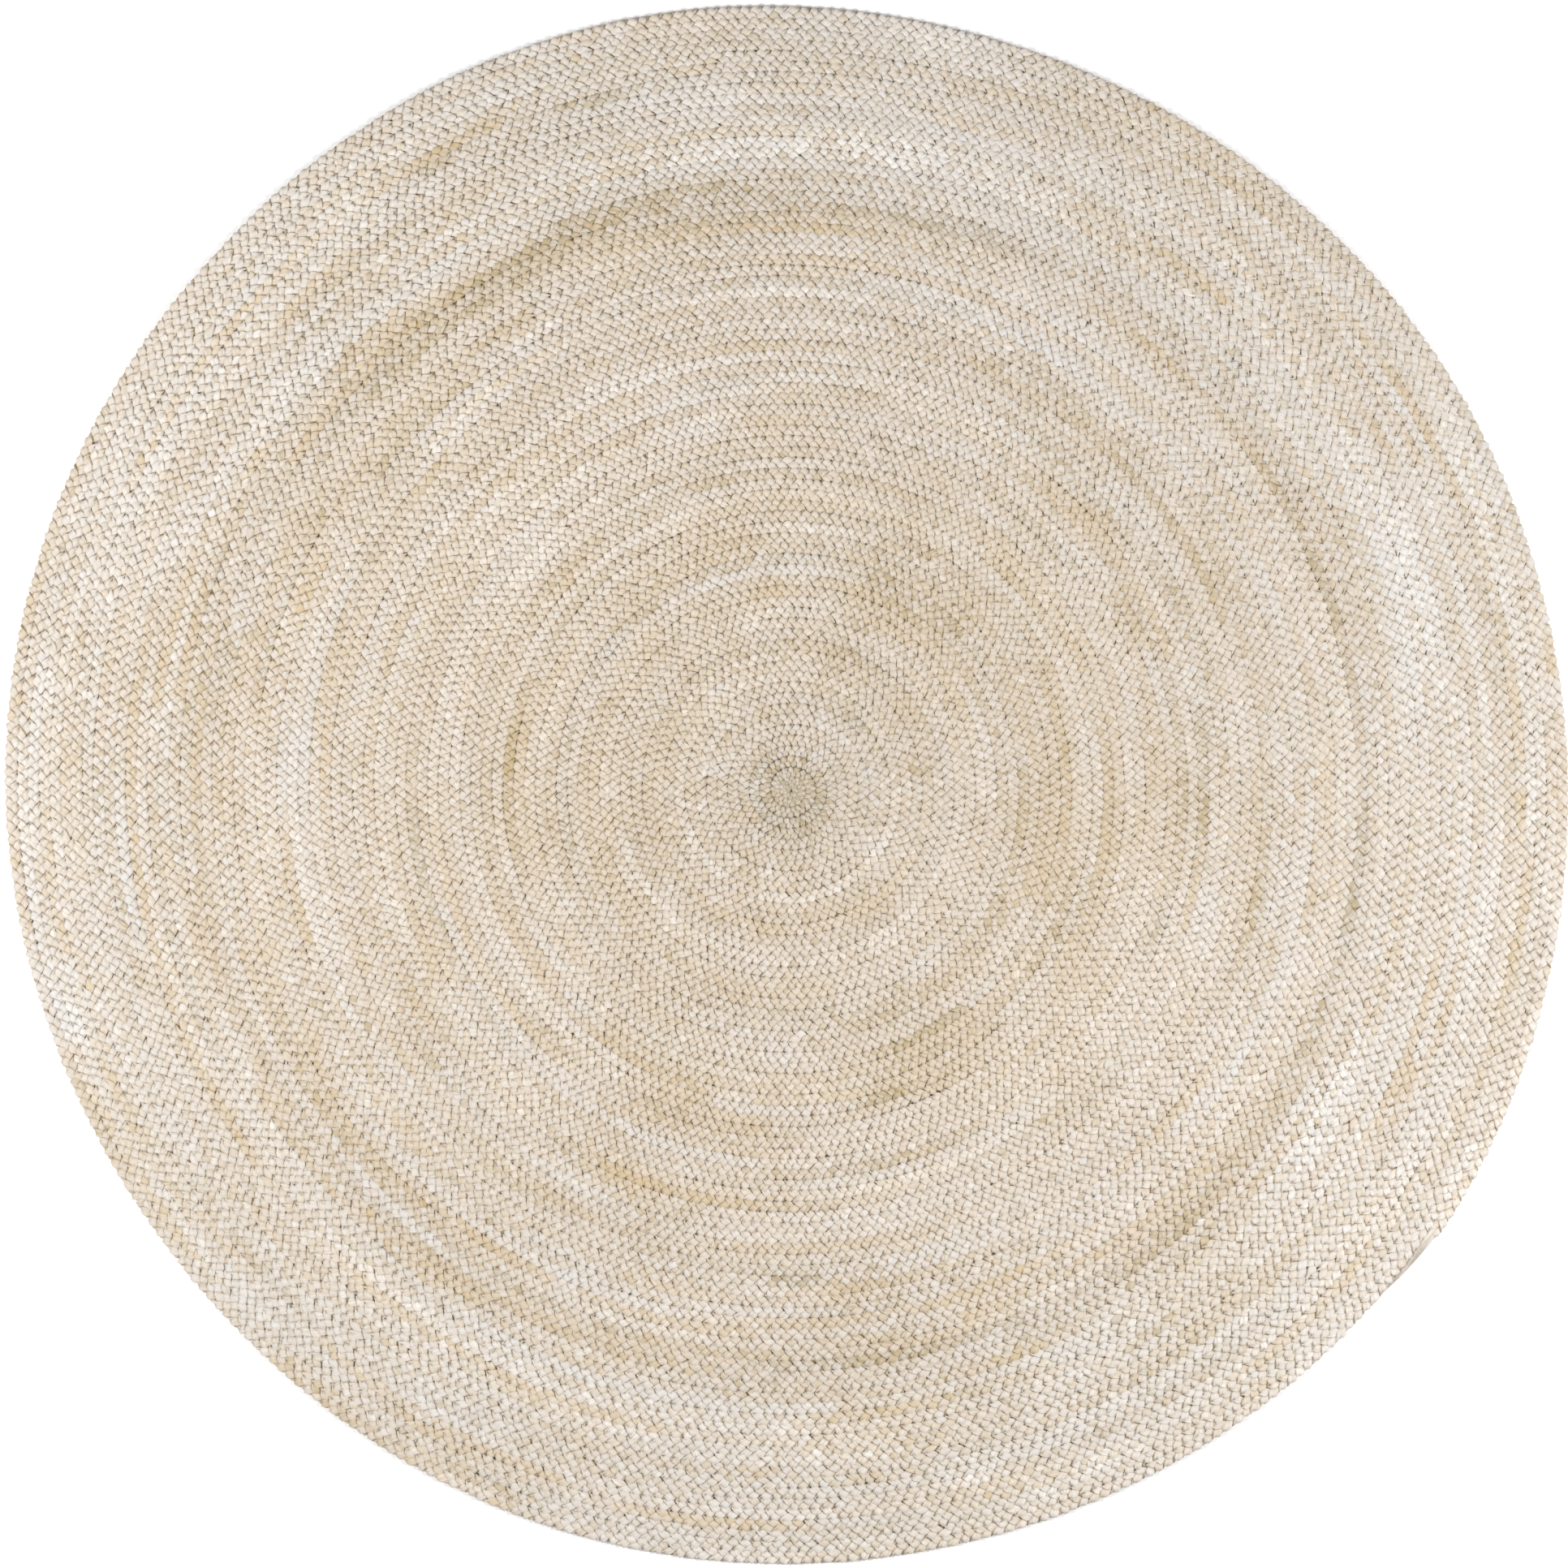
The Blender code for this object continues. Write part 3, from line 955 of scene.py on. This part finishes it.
    def strand(self, which: int, rings: Array, taper: Array | float = 1.0) -> Tube:
        """One strand of a run of the plait.

        Args:
            which: the strand, from 0.
            rings: the run's rings, counted from the plait's start.
            taper: how much of its own thickness the strand has there.

        Returns:
            The strand as a closed tube.
        """
        own = self.own[which]
        run, turn = self.travel(rings)
        size = self.spiral.shrink(turn) * taper
        flatness = size**0.6
        beat = rings * math.tau / self.rings + which * math.tau / self.strands
        beat = beat + self.warp.at(run) + self.hitch.at(run) + own["beat"].at(run)
        swing = self.half_swing * size
        rise = self.half_rise * flatness
        radius = self.spiral.polar(turn)[1]
        inner, outer = self.snugness
        snug = inner + (outer - inner) * ramp(radius, *self.lump_growth[-1][1:])
        lateral = swing * np.tanh(snug * np.sin(beat)) / np.tanh(snug)
        height = rise * np.sin(2.0 * beat)
        tilt = np.unwrap(
            np.arctan2(self.roll * 2.0 * rise * np.cos(2.0 * beat), swing * np.cos(beat))
        )
        plump = 1.0 + self.plumpness * np.sin(2.0 * beat)
        tight = np.clip(np.interp(turn, self.turn, self.lump) / self.full_lump, 0.0, 1.08) ** 0.6
        wide = self.strand_width / 2 * taper * tight * plump * (1.0 + own["wide"].at(run))
        thick = self.strand_thickness / 2 * flatness * plump * (1.0 + own["thick"].at(run))
        slope = np.gradient(lateral, run)
        lean = -slope / (1.0 + slope**2)
        across, upward = self.section()
        u, v = np.outer(wide, across), np.outer(thick, upward)
        cos, sin = np.cos(tilt)[:, None], np.sin(tilt)[:, None]
        sideways, high = u * cos - v * sin, u * sin + v * cos
        offset = lateral + (self.sway(run) + own["side"].at(run)) * size
        place, ahead, outward = self.spiral.course(turn)
        flat = (
            place[:, None]
            + outward[:, None] * (offset[:, None] + sideways)[..., None]
            + ahead[:, None] * (lean[:, None] * sideways)[..., None]
        )
        core = self.middle_height * (0.5 + 0.5 * flatness)
        middle = core + height + np.abs(self.lift.at(run)) * size + own["high"].at(run) * size
        up = np.maximum(middle[:, None] + high, self.floor_gap)
        # Painted shade: points near the plait's middle height, down between the tops of the lumps,
        # take the seam shade colour, as where a strand dives under the next; less of it at the eye.
        far = np.abs(up - core[:, None]) / (2.0 * rise)[:, None]
        seam_shade_share = 1.0 - ramp(far, 0.25, 0.40)
        seam_shade_share = seam_shade_share * (0.45 + 0.55 * ramp(radius, 0.02, 0.06))[:, None]
        sliver = self.sliver_at(which, run, beat, turn)
        shape = flat.shape[:2]
        around = ring_angles(self.sides) + self.twist * run[:, None]
        along = np.broadcast_to((run + 37.0 * which)[:, None], shape)
        return Tube(
            np.concatenate([flat, up[..., None]], -1),
            np.stack([along, np.cos(around), np.sin(around)], -1),
            np.concatenate([np.broadcast_to(sliver[:, None], (*shape, 2)), seam_shade_share[..., None]], -1),
        )


# --- The rug's pieces --------------------------------------------------------------------------
@dataclass
class BraidLength:
    """One plaited length of the rug, between two joints of the spiral."""

    plait: Plait
    number: int
    start: float
    end: float
    slot: Slot

    def build(self, wardrobe: Wardrobe) -> bpy.types.Object:
        """Plaits the length and dresses it.

        Args:
            wardrobe: the finishes.

        Returns:
            The piece.
        """
        work = TubeMesh(f"plaited_length_{self.number:02d}")
        rings = np.arange(self.plait.ring_at(self.start), self.plait.ring_at(self.end) + 1)
        for which in range(self.plait.strands):
            work.add(self.plait.strand(which, rings))
        return wardrobe.dress(work, self.slot, (f"braid_length_{self.number:02d}",))


@dataclass
class CentreCoil:
    """The plait's start, tucked in and wound round itself as the rug's eye."""

    plait: Plait
    end: float
    start_taper: float = 0.45
    taper_turns: float = 0.14

    def build(self, wardrobe: Wardrobe) -> bpy.types.Object:
        """Winds the coil and dresses it, and returns the piece."""
        work = TubeMesh("plaited_centre")
        rings = np.arange(0, self.plait.ring_at(self.end) + 1)
        turn = self.plait.travel(rings)[1]
        share = ramp(turn, turn[0], self.taper_turns)
        taper = self.start_taper + (1.0 - self.start_taper) * share
        for which in range(self.plait.strands):
            work.add(self.plait.strand(which, rings, taper))
        return wardrobe.dress(work, Slot.GREIGE, ("centre_start",))


@dataclass
class Tail:
    """The end of the last length: the plait runs out into combed jute, thinned to a tip."""

    plait: Plait
    start: float
    end: float
    plaited_share: float = 0.47
    full_width: float = 0.0118
    tip_width: float = 0.0034
    thickness: float = 0.0073
    tip_thickness: float = 0.0032
    thinning: float = 1.35
    tuck: float = 0.0008
    hidden_share: float = 0.12
    growing_share: float = 0.16
    rings: int = 80
    sides: int = 18
    grooves: float = 0.03
    wisps: int = 95
    wisp_radius: float = 0.00011
    seed: int = 500

    def thinned(self, share: Array) -> Array:
        """How far the tail has thinned at these shares of its length, from 0 to 1."""
        loose = (np.asarray(share) - self.plaited_share) / (1.0 - self.plaited_share)
        return np.clip(loose, 0.0, 1.0) ** self.thinning

    def width(self, share: Array) -> Array:
        """The tail's width at these shares of its length."""
        return self.full_width + (self.tip_width - self.full_width) * self.thinned(share)

    def height(self, share: Array) -> Array:
        """The tail's thickness at these shares of its length."""
        return self.thickness + (self.tip_thickness - self.thickness) * self.thinned(share)

    def lay(self, share: Array, across: Array) -> Array:
        """The floor plane's points on the tail.

        Args:
            share: shares of its length.
            across: metres outwards from its middle.

        Returns:
            The points.
        """
        angle, radius = self.plait.spiral.polar(self.start + (self.end - self.start) * share)
        inner = radius - self.plait.spiral.pitch / 2 - self.tuck
        return self.plait.spiral.place(angle, inner + self.width(share) / 2 + across)

    def reach(self) -> float:
        """The tail's length along the edge, in metres."""
        return (self.end - self.start) * math.tau * self.plait.spiral.edge_radius

    def combed(self) -> Tube:
        """The unplaited jute: a soft crowned bundle that comes out from under the last lumps."""
        draw = np.random.default_rng(self.seed)
        share = np.linspace(self.plaited_share - self.hidden_share, 1.0, self.rings)
        grow = ramp(share, share[0], self.growing_share)
        blunt = np.sqrt(np.clip((1.004 - share) / 0.03, 0.0, 1.0))
        turn = ring_angles(self.sides)
        run = self.reach() * share
        twist = turn + 9.0 * run[:, None]
        groove = np.zeros((self.rings, self.sides))
        for waves in (3, 5, 8):
            phase = draw.uniform(0.0, math.tau)
            groove += np.cos(waves * twist + phase) * self.grooves / math.sqrt(waves)
        girth = (0.35 + 0.65 * grow) * blunt
        half_wide = self.width(share) / 2 * (0.6 + 0.4 * grow) * blunt
        half_tall = self.height(share) / 2 * girth
        across = half_wide[:, None] * np.cos(turn) * (1.0 + groove)
        up = self.height(share)[:, None] / 2 + half_tall[:, None] * np.sin(turn) * (1.0 + groove)
        flat = self.lay(np.broadcast_to(share[:, None], up.shape), across)
        along = np.broadcast_to((run + 300.0)[:, None], up.shape)
        # Painted light and shade: the bundle's tone is set paler than the plait's to offset the
        # shade it gets from lying lower, and it follows the grooves, darker in them and paler on
        # the ridges.
        tone = 0.72 + 0.5 * groove + 0.0 * up
        # Painted shade: the bundle's two sides, where its section turns down, take a little of the
        # seam shade colour.
        side_shade = np.broadcast_to(np.where(np.abs(np.sin(turn)) < 0.2, 0.10, 0.0), up.shape)
        return Tube(
            np.concatenate([flat, np.maximum(up, 0.0001)[..., None]], -1),
            np.stack([along, np.cos(twist), np.sin(twist)], -1),
            np.stack([tone, np.full(up.shape, 0.08), side_shade], -1),
        )

    def wisp(self, draw: np.random.Generator) -> Tube:
        """One loose bundle of fibres, combed along the tail and frayed beyond its tip."""
        first = draw.uniform(self.plaited_share - 0.02, 0.93)
        share = np.linspace(first, min(first + draw.uniform(0.10, 0.30), 1.13), 9)
        side = draw.uniform(-0.40, 0.40)
        arch = np.sin(np.linspace(0.0, math.pi, 9))
        past = np.clip((share - 1.0) / 0.13, 0.0, 1.0)
        across = side * self.width(share) + draw.normal(0.0, 0.0006) * arch
        across = across + draw.normal(0, 0.0022) * past
        crown = math.sqrt(1.0 - (2.0 * side) ** 2)
        high = self.height(share) * (0.5 + 0.5 * crown) * (1.0 - 0.75 * past) + 0.0002 * arch
        line = np.concatenate([self.lay(share, across), high[:, None]], -1)
        radius = self.wisp_radius * draw.uniform(0.5, 1.3) * (0.35 + 0.65 * arch)
        sliver = (draw.uniform(0.38, 0.72), draw.uniform(0.03, 0.2), 0.0)
        return tube_along(line, radius, 4, sliver)

    def build(self, wardrobe: Wardrobe) -> bpy.types.Object:
        """Makes the tail and dresses it, and returns the piece."""
        plait = self.plait
        work = TubeMesh("combed_tail")
        last = self.start + (self.end - self.start) * (self.plaited_share + 0.05)
        rings = np.arange(plait.ring_at(self.start), plait.ring_at(last) + 1)
        taper = 1.0 - 0.45 * ramp(np.arange(len(rings)) / len(rings), 0.78, 0.22)
        for which in range(plait.strands):
            work.add(plait.strand(which, rings, taper))
        work.add(self.combed())
        draw = np.random.default_rng(self.seed + 1)
        for _ in range(self.wisps):
            work.add(self.wisp(draw))
        return wardrobe.dress(work, Slot.IVORY, ("braid_tail",))


@dataclass
class SeamTwine:
    """Twine laced to and fro in the seam between one turn of the plait and the next."""

    plait: Plait
    name: str
    start: float
    end: float
    nodes: tuple[str, ...] = ()
    stitch: float = 0.021
    swing: float = 0.0017
    low: float = 0.0009
    high: float = 0.0052
    radius: float = 0.00042
    step: float = 0.0035
    sides: int = 3

    def build(self, wardrobe: Wardrobe) -> bpy.types.Object:
        """Laces the seam and dresses the twine, and returns the piece."""
        plait = self.plait
        first, last = np.interp((self.start, self.end), plait.turn, plait.run)
        run = np.arange(first, last, self.step)
        turn = np.interp(run, plait.run, plait.turn)
        angle, radius = plait.spiral.polar(turn)
        beat = run * math.tau / self.stitch
        out = plait.spiral.pitch / 2 * plait.spiral.shrink(turn + 0.5)
        out = out + plait.sway(run) + self.swing * np.sin(beat)
        height = self.low + (self.high - self.low) * (0.5 - 0.5 * np.cos(2 * beat + 0.8))
        flat = plait.spiral.place(angle, radius + out)
        line = np.concatenate([flat, height[:, None]], -1)
        work = TubeMesh(self.name)
        # The twine's third value gives it a little painted seam shade.
        work.add(tube_along(line, self.radius, self.sides, (0.45, 0.25, 0.2)))
        return wardrobe.dress(work, Slot.TWINE, self.nodes)


@dataclass
class TailLacing:
    """Twine that binds the tail down on the edge, over and round it at even steps."""

    tail: Tail
    stitches: int = 4
    first: float = 0.20
    reach: float = 0.66
    over_plait: float = 0.0078
    radius: float = 0.00022

    def stitch(self, share: float) -> Array:
        """The twine's way over the tail, from the seam to the outer edge and under it."""
        tail = self.tail
        turn = np.linspace(-0.12, 1.12, 22) * math.pi
        plaited = share < tail.plaited_share
        half = float(tail.width(share)) * (0.52 if plaited else 0.50)
        tall = self.over_plait if plaited else float(tail.height(share))
        slant = share + 0.018 * np.linspace(-0.5, 0.5, len(turn))
        high = 0.0006 + (tall - 0.0004) * np.clip(np.sin(turn), 0.0, 1.0) ** 0.6
        return np.concatenate([tail.lay(slant, -half * np.cos(turn)), high[:, None]], -1)

    def build(self, wardrobe: Wardrobe) -> bpy.types.Object:
        """Laces the tail down and dresses the twine, and returns the piece."""
        work = TubeMesh("tail_twine")
        for number in range(self.stitches):
            line = self.stitch(self.first + self.reach * number / (self.stitches - 1))
            # The lacing's third value gives it a little painted seam shade.
            work.add(tube_along(line, self.radius, 6, (0.45, 0.2, 0.1)))
        return wardrobe.dress(work, Slot.TWINE, ("tail_lacing",))


@dataclass
class StrayFibres:
    """Loose jute fibres that stand a little proud of the plait all over the rug."""

    plait: Plait
    count: int = 2600
    points: int = 8
    radius: float = 0.00007
    top: float = 0.0079
    seed: int = 900

    def fibre(self, draw: np.random.Generator) -> Tube:
        """One fibre, bent and lying loosely along the plait."""
        spiral = self.plait.spiral
        far = spiral.edge_radius * math.sqrt(draw.uniform(0.0004, 0.985))
        heading = draw.uniform(0.0, math.tau)
        length = draw.uniform(0.006, 0.022)
        share = np.linspace(0.0, 1.0, self.points)
        skew, curl = draw.normal(0.0, 0.5), draw.normal(0.0, 1.1)
        course = skew + curl * (share - 0.5)
        ahead = np.cumsum(np.cos(course)) * length / self.points
        aside = np.cumsum(np.sin(course)) * length / self.points
        flat = spiral.place(heading - ahead / far, far + aside)
        rise = draw.uniform(0.0002, 0.0016)
        high = self.top - 0.0007 + (0.0007 + rise) * np.sin(share * math.pi) ** 0.8
        line = np.concatenate([flat, high[:, None]], -1)
        sliver = (draw.uniform(0.45, 1.0), draw.uniform(0.0, 0.35), 0.0)
        return tube_along(line, self.radius * (1.15 - share), 3, sliver)

    def build(self, wardrobe: Wardrobe) -> bpy.types.Object:
        """Scatters the fibres and dresses them, and returns the piece."""
        work = TubeMesh("stray_fibres")
        draw = np.random.default_rng(self.seed)
        for _ in range(self.count):
            work.add(self.fibre(draw))
        return wardrobe.dress(work, Slot.IVORY)


@dataclass
class JuteRug:
    """The whole rug: eye, plaited lengths, tail and the twine that sews them together."""

    spiral: Spiral
    seam_starts: tuple[float, ...] = (1.0, 6.0, 36.0, 53.0, 66.0, 70.47, 71.47)

    def build(self, wardrobe: Wardrobe) -> list[bpy.types.Object]:
        """Builds every piece in order, from the eye outwards.

        Args:
            wardrobe: the finishes.

        Returns:
            The pieces.
        """
        plait = Plait(self.spiral)
        joints = self.spiral.joints()
        pieces = [CentreCoil(plait, joints[0]).build(wardrobe)]
        for number, (start, end) in enumerate(zip(joints, joints[1:]), start=1):
            slot = LENGTH_SLOTS[number - 1]
            pieces.append(BraidLength(plait, number, start, end, slot).build(wardrobe))
        tail = Tail(plait, joints[-1], self.spiral.turns + 0.0062)
        pieces += [tail.build(wardrobe), TailLacing(tail).build(wardrobe)]
        names = ("seam_twine_centre", "seam_twine_inner", "seam_twine_middle",
                 "seam_twine_outer", "seam_twine_last", "seam_twine_edge")
        stood_for = {"seam_twine_centre": "seam_thread_centre",
                     "seam_twine_edge": "seam_thread_edge"}
        for name, start, end in zip(names, self.seam_starts, self.seam_starts[1:]):
            nodes = (stood_for[name],) if name in stood_for else ()
            pieces.append(SeamTwine(plait, name, start, end, nodes).build(wardrobe))
        pieces.append(StrayFibres(plait).build(wardrobe))
        return pieces


# --- The studio --------------------------------------------------------------------------------
@dataclass
class Studio:
    """A pale floor, soft light from above and a long lens straight overhead."""

    view_width: float = 1.841
    centre: tuple[float, float] = (-0.0037, 0.0008)
    rug_top: float = 0.008
    lens: float = 100.0
    sensor: float = 36.0
    floor_size: float = 14.0
    floor_cells: int = 8
    floor_levels: tuple[float, float] = (0.955, 0.975)
    floor_drop: float = 0.0001
    sky: float = 0.36
    lamps: tuple[tuple[float, float, float, float, float], ...] = (
        (-2.7, -0.25, 2.5, 1.4, 98.0),
        (2.7, -0.25, 2.5, 1.4, 98.0),
    )

    def build_camera(self) -> None:
        """Hangs the camera over the rug, with the top of the view towards +Y."""
        data = bpy.data.cameras.new("camera")
        data.lens, data.sensor_width = self.lens, self.sensor
        camera = bpy.data.objects.new("camera", data)
        away = self.view_width * self.lens / self.sensor
        camera.location = (*self.centre, self.rug_top + away)
        data.clip_end = 100.0
        bpy.context.scene.collection.objects.link(camera)
        bpy.context.scene.camera = camera

    def build_lamp(self, x: float, y: float, z: float, size: float, power: float) -> None:
        """Hangs one square soft lamp that faces the rug."""
        data = bpy.data.lights.new("soft_lamp", "AREA")
        data.size, data.energy = size, power
        lamp = bpy.data.objects.new("soft_lamp", data)
        lamp.location = (x, y, z)
        lamp.rotation_euler = (-lamp.location).to_track_quat("-Z", "Y").to_euler()
        bpy.context.scene.collection.objects.link(lamp)

    def build_floor(self) -> None:
        """Lays the pale floor just under the rug."""
        half, count = self.floor_size / 2, self.floor_cells
        line = np.linspace(-half, half, count + 1)
        points = [(x, y, -self.floor_drop) for y in line for x in line]
        row = count + 1
        faces = [
            (i + j * row, i + 1 + j * row, i + 1 + (j + 1) * row, i + (j + 1) * row)
            for j in range(count)
            for i in range(count)
        ]
        mesh = bpy.data.meshes.new("studio_floor")
        mesh.from_pydata(points, [], faces)
        floor = bpy.data.objects.new("studio_floor", mesh)
        bpy.context.scene.collection.objects.link(floor)
        made = bpy.data.materials.new("pale_floor")
        made.use_nodes = True
        sheet = NodeSheet(made.node_tree)
        shader = made.node_tree.nodes["Principled BSDF"]
        where = sheet.add("TexCoord").outputs["Object"]
        inputs = {"Vector": where, "Scale": 6.0, "Detail": 3.0}
        grain = sheet.add("TexNoise", inputs).outputs[0]
        rough = sheet.maths("MULTIPLY_ADD", grain, 0.1, 0.75)
        dull, bright = ((level, level, level, 1.0) for level in self.floor_levels)
        pale = sheet.mix(grain, dull, bright)
        made.node_tree.links.new(rough, shader.inputs["Roughness"])
        made.node_tree.links.new(pale, shader.inputs["Base Color"])
        mesh.materials.append(made)

    def build(self) -> None:
        """Sets up the whole studio."""
        scene = bpy.context.scene
        scene.view_settings.view_transform = "Standard"
        world = bpy.data.worlds.new("studio_sky")
        world.use_nodes = True
        sky = world.node_tree.nodes["Background"]
        sky.inputs["Color"].default_value = (1.0, 1.0, 1.0, 1.0)
        sky.inputs["Strength"].default_value = self.sky
        scene.world = world
        self.build_camera()
        self.build_floor()
        for lamp in self.lamps:
            self.build_lamp(*lamp)


def clear_start_scene() -> None:
    """Removes what a new Blender file starts with, apart from the frame."""
    for thing in list(bpy.data.objects):
        if thing.name in ("Cube", "Light", "Camera") and "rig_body" not in thing:
            bpy.data.objects.remove(thing, do_unlink=True)


def main() -> None:
    """Builds the studio and the rug, and reports each piece."""
    logging.basicConfig(level=logging.INFO, format="%(message)s")
    clear_start_scene()
    Studio().build()
    underside = frame["record"]["mounts"][0]["pos_m"]
    rug = JuteRug(Spiral(eye=(underside[0], underside[1])))
    pieces = rug.build(Wardrobe())
    bpy.context.view_layer.update()
    LOG.info("the rug has %d pieces", len(pieces))


if __name__ == "__main__":
    main()
